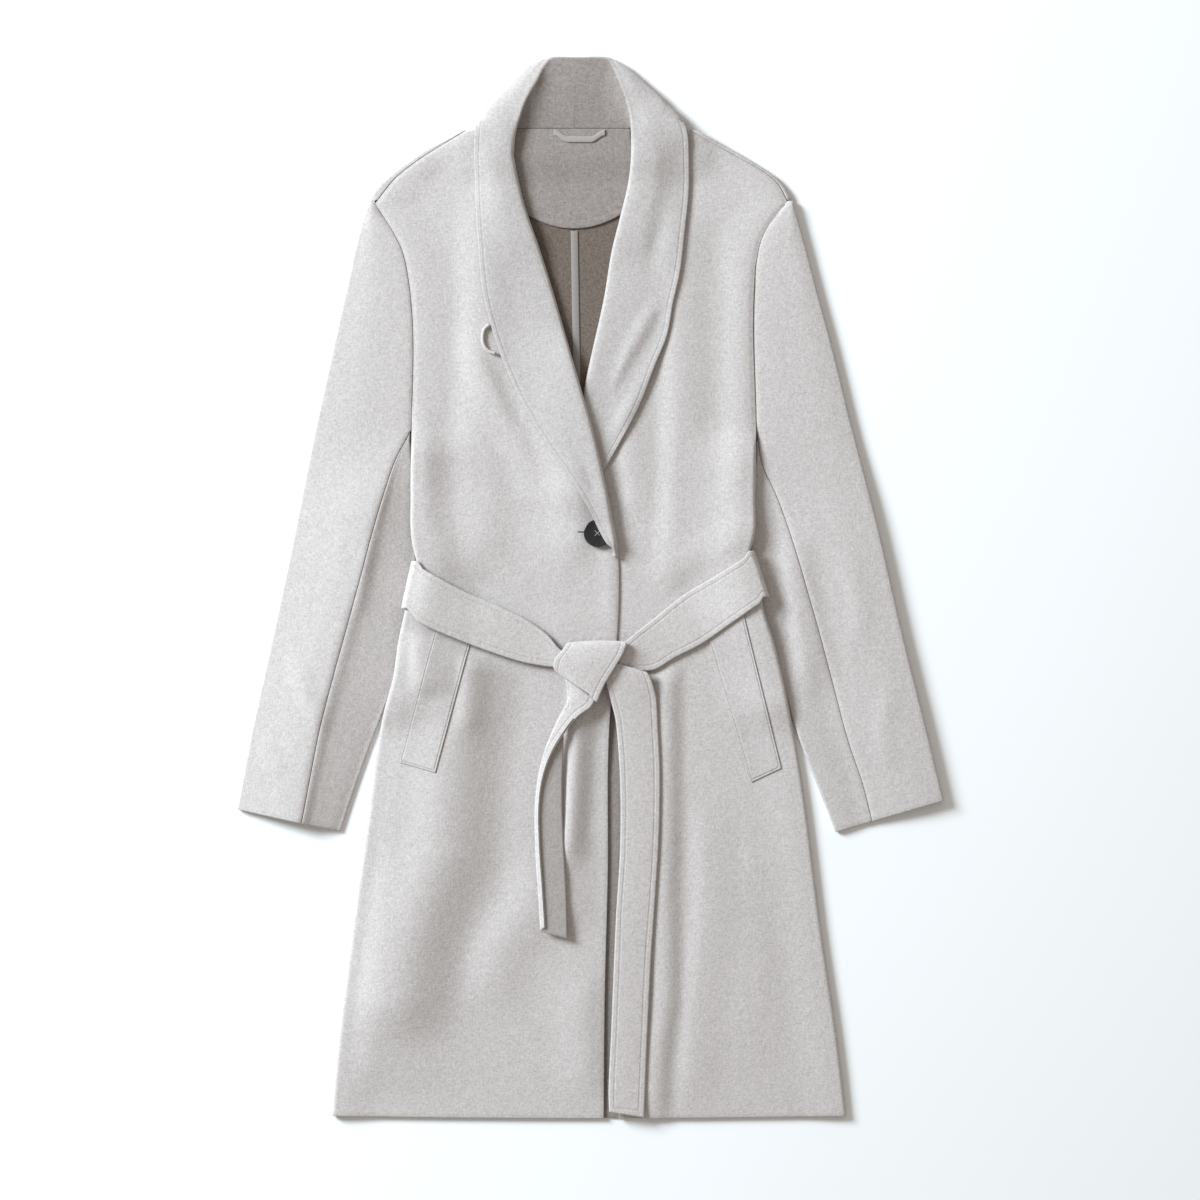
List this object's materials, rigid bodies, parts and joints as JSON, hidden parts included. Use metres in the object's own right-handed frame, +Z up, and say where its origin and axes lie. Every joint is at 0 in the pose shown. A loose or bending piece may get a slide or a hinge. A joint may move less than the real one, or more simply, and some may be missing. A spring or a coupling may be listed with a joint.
{
  "type": "wrap coat",
  "caption": "Belted wrap coat of felted wool with a shawl collar and slanted welt pockets, laid out flat on its back with its belt knotted.",
  "frame": {"origin": "middle of the footprint, on the surface the coat lies on", "axes": "+Y up the coat from hem to collar, +X to the wearer's left, +Z up off the surface, out of the coat's front"},
  "size_m": [0.7068, 1.0606, 0.0261],
  "materials": {
    "back_left": "felted wool, shaded inner face",
    "back_right": "felted wool, shaded inner face",
    "belt_back": "felted melange wool with a short nap",
    "belt_knot": "felted melange wool with a short nap",
    "belt_run_left": "felted melange wool with a short nap",
    "belt_run_right": "felted melange wool with a short nap",
    "belt_tail_left": "felted melange wool with a short nap",
    "belt_tail_right": "felted melange wool with a short nap",
    "button": "polished dark resin",
    "collar_left": "felted melange wool with a short nap",
    "collar_right": "felted melange wool with a short nap",
    "front_left": "felted melange wool with a short nap",
    "front_right": "felted melange wool with a short nap",
    "hanger_loop": "thin woven tape",
    "lapel_loop": "felted melange wool with a short nap",
    "neck_facing": "felted melange wool with a short nap",
    "seam_tape": "thin woven tape",
    "sleeve_under_left": "felted melange wool with a short nap",
    "sleeve_under_right": "felted melange wool with a short nap",
    "sleeve_upper_left": "felted melange wool with a short nap",
    "sleeve_upper_right": "felted melange wool with a short nap",
    "welt_left": "felted melange wool with a short nap",
    "welt_right": "felted melange wool with a short nap"
  },
  "bodies": {
    "root": {"back_left": "back_left", "back_right": "back_right", "belt_back": "belt_back", "belt_knot": "belt_knot", "belt_run_left": "belt_run_left", "belt_run_right": "belt_run_right", "belt_tail_left": "belt_tail_left", "belt_tail_right": "belt_tail_right", "button": "button", "collar_left": "collar_left", "collar_right": "collar_right", "front_left": "front_left", "front_right": "front_right", "hanger_loop": "hanger_loop", "lapel_loop": "lapel_loop", "neck_facing": "neck_facing", "seam_tape": "seam_tape", "sleeve_under_left": "sleeve_under_left", "sleeve_under_right": "sleeve_under_right", "sleeve_upper_left": "sleeve_upper_left", "sleeve_upper_right": "sleeve_upper_right", "welt_left": "welt_left", "welt_right": "welt_right"}
  },
  "joints": []
}
